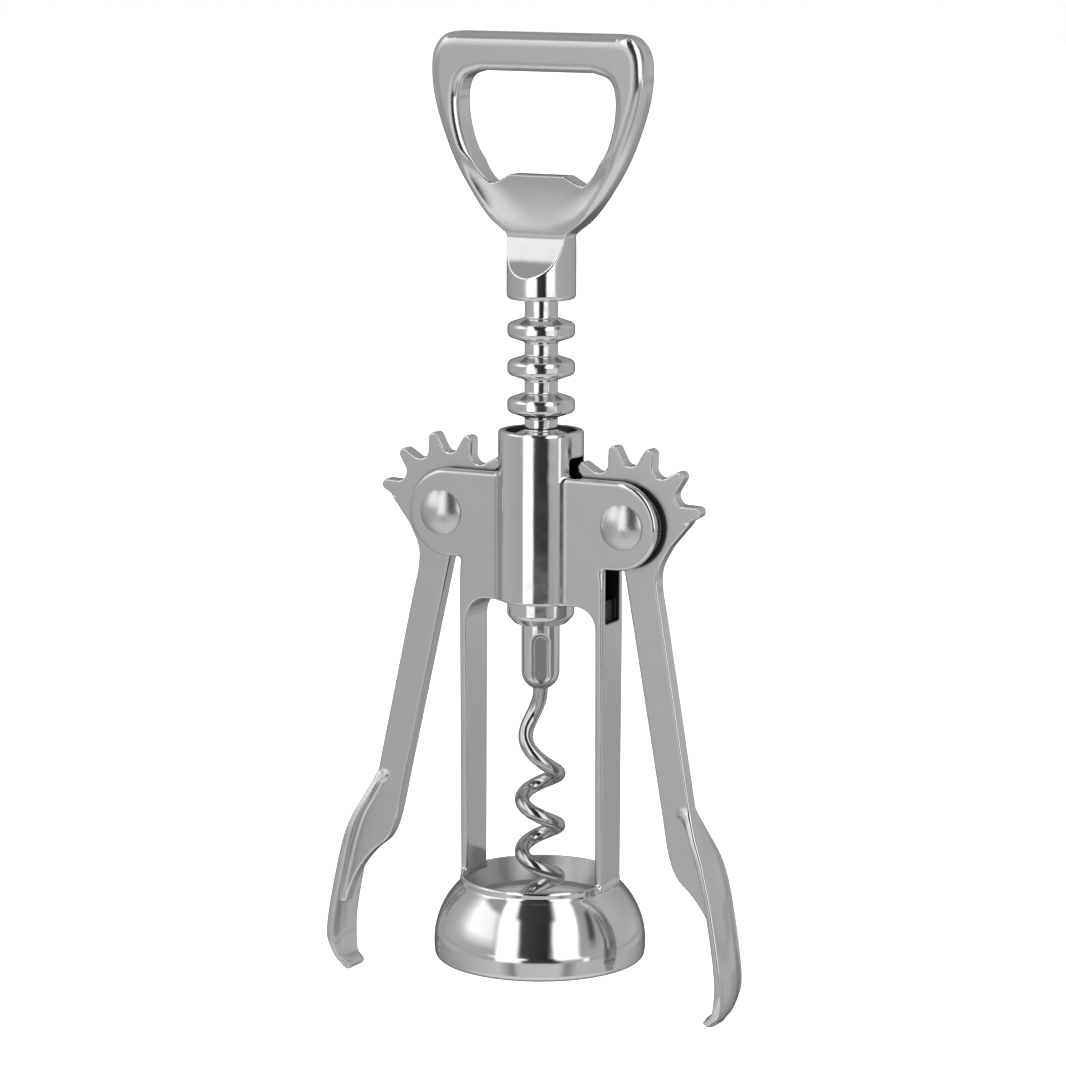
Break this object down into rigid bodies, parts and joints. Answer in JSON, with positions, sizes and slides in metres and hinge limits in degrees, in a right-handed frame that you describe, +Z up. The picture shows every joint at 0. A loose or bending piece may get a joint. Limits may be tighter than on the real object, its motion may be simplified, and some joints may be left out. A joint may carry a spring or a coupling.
{
  "type": "wing corkscrew",
  "caption": "Double-lever corkscrew with a bell frame, ring rack, geared levers, cap-lifter handle and a worm on a turning socket.",
  "frame": {"origin": "centre of the bell's mouth, on the centre line, where a bottle's lip enters", "axes": "+Z up the centre line to the handle, +X to the right lever, the front faces -Y"},
  "size_m": [0.0852, 0.04, 0.1824],
  "materials": {
    "plated_casting": "zinc casting, chrome plated, satin on the flats and bright on the round faces",
    "plated_steel": "turned steel, bright chrome plated",
    "worm_steel": "drawn steel wire, polished, a little darker than the plating"
  },
  "bodies": {
    "frame": {"bell_frame": "plated_casting", "left_rivet": "plated_steel", "right_rivet": "plated_steel"},
    "rack": {"ring_rack": "plated_steel"},
    "spindle": {"opener_handle": "plated_casting", "worm_socket": "plated_steel", "worm": "worm_steel"},
    "left_wing": {"left_lever": "plated_casting"},
    "right_wing": {"right_lever": "plated_casting"}
  },
  "joints": [
    {"name": "rack_slide", "type": "slide", "parent": "frame", "child": "rack", "axis": [0, 0, -1], "range_m": [-0.002, 0.0237]},
    {"name": "handle_turn", "type": "hinge", "parent": "rack", "child": "spindle", "pos_m": [0, 0, 0.1249], "axis": [0, 0, 1], "continuous": true},
    {"name": "left_wing_lift", "type": "hinge", "parent": "frame", "child": "left_wing", "pos_m": [-0.01887, 0, 0.0842], "axis": [0, 1, 0], "range_deg": [-8.7, 101.7]},
    {"name": "right_wing_lift", "type": "hinge", "parent": "frame", "child": "right_wing", "pos_m": [0.01887, 0, 0.0842], "axis": [0, -1, 0], "range_deg": [-8.7, 101.7]}
  ],
  "couplings": [
    {"joint": "left_wing_lift", "follows": "rack_slide", "rad_per_m": 74.8},
    {"joint": "right_wing_lift", "follows": "rack_slide", "rad_per_m": 74.8}
  ]
}
